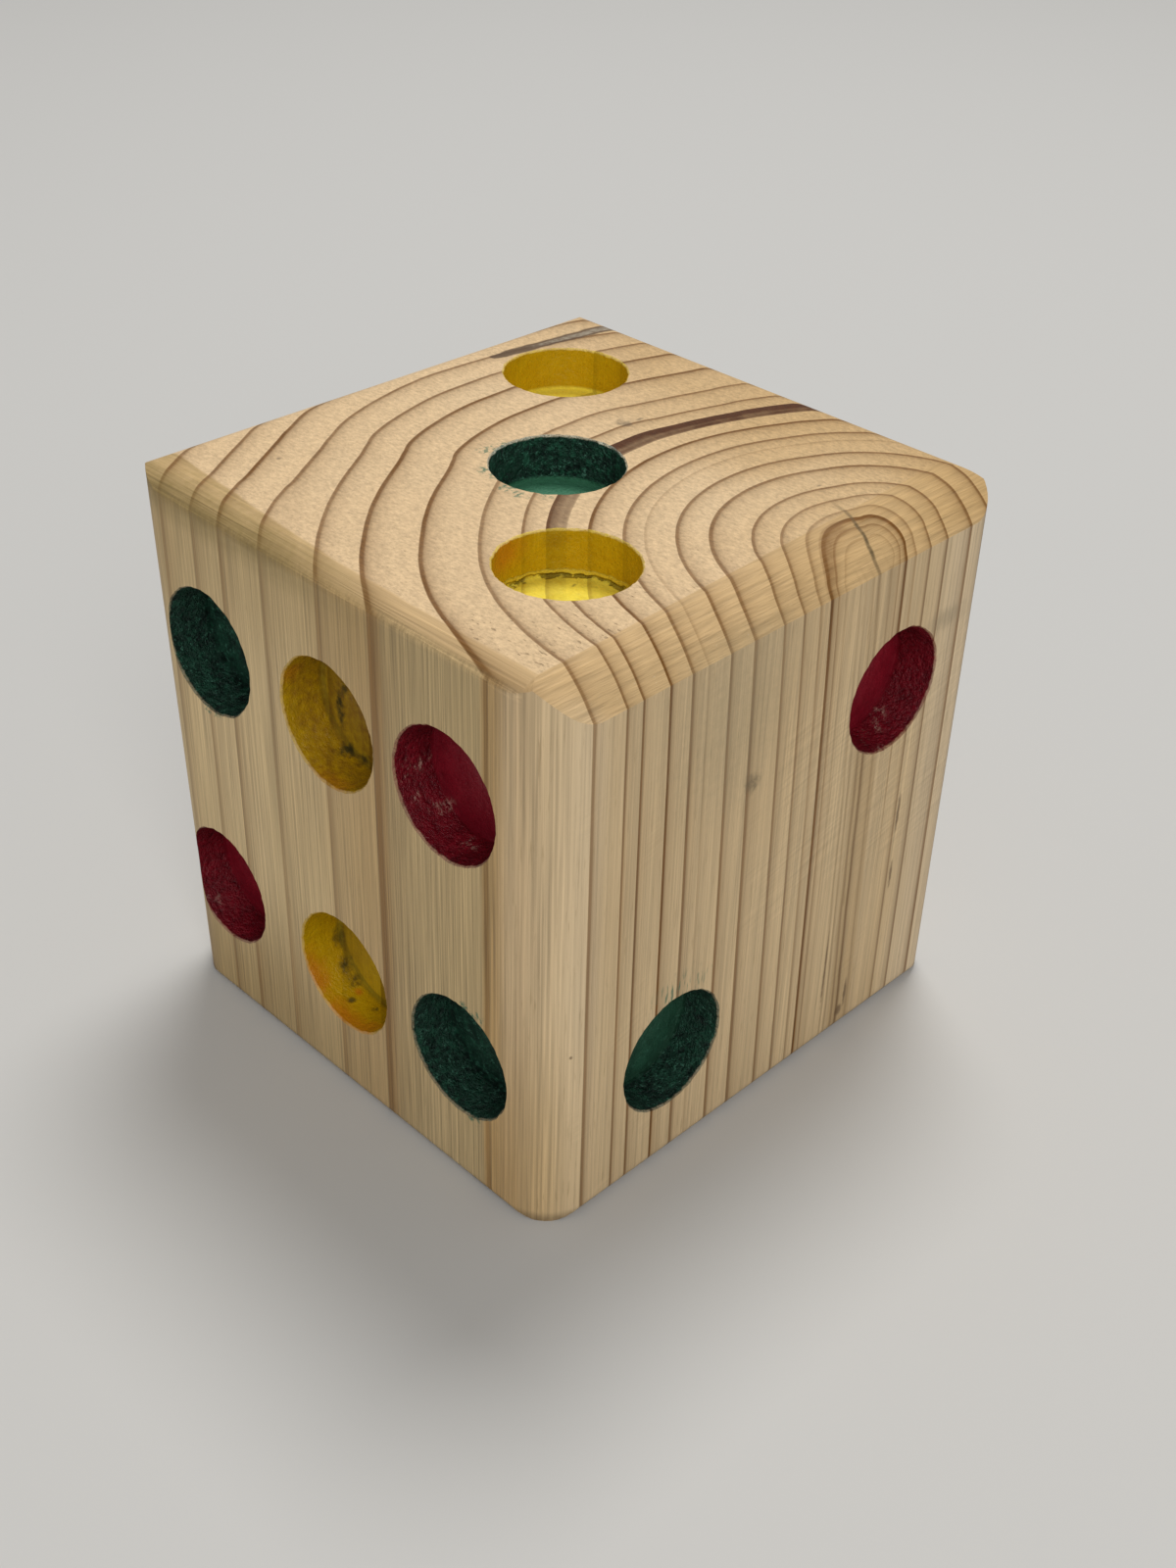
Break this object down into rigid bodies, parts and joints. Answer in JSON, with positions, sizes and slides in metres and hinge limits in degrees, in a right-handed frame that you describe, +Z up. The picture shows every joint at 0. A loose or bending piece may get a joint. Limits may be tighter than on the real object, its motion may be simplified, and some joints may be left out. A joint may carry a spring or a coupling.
{
  "type": "wooden die",
  "caption": "Large six-sided game die cut from a square pine post, with sanded edges and drilled, painted pips.",
  "frame": {"origin": "centre of the bottom face of the block's box", "axes": "+Z up along the grain, through the face with three pips; -Y is the front, with six pips; +X is the right-hand side, with two pips"},
  "size_m": [0.087, 0.089, 0.0875],
  "materials": {
    "pine": "bare, sanded"
  },
  "bodies": {
    "root": {"block": "pine"}
  },
  "joints": []
}
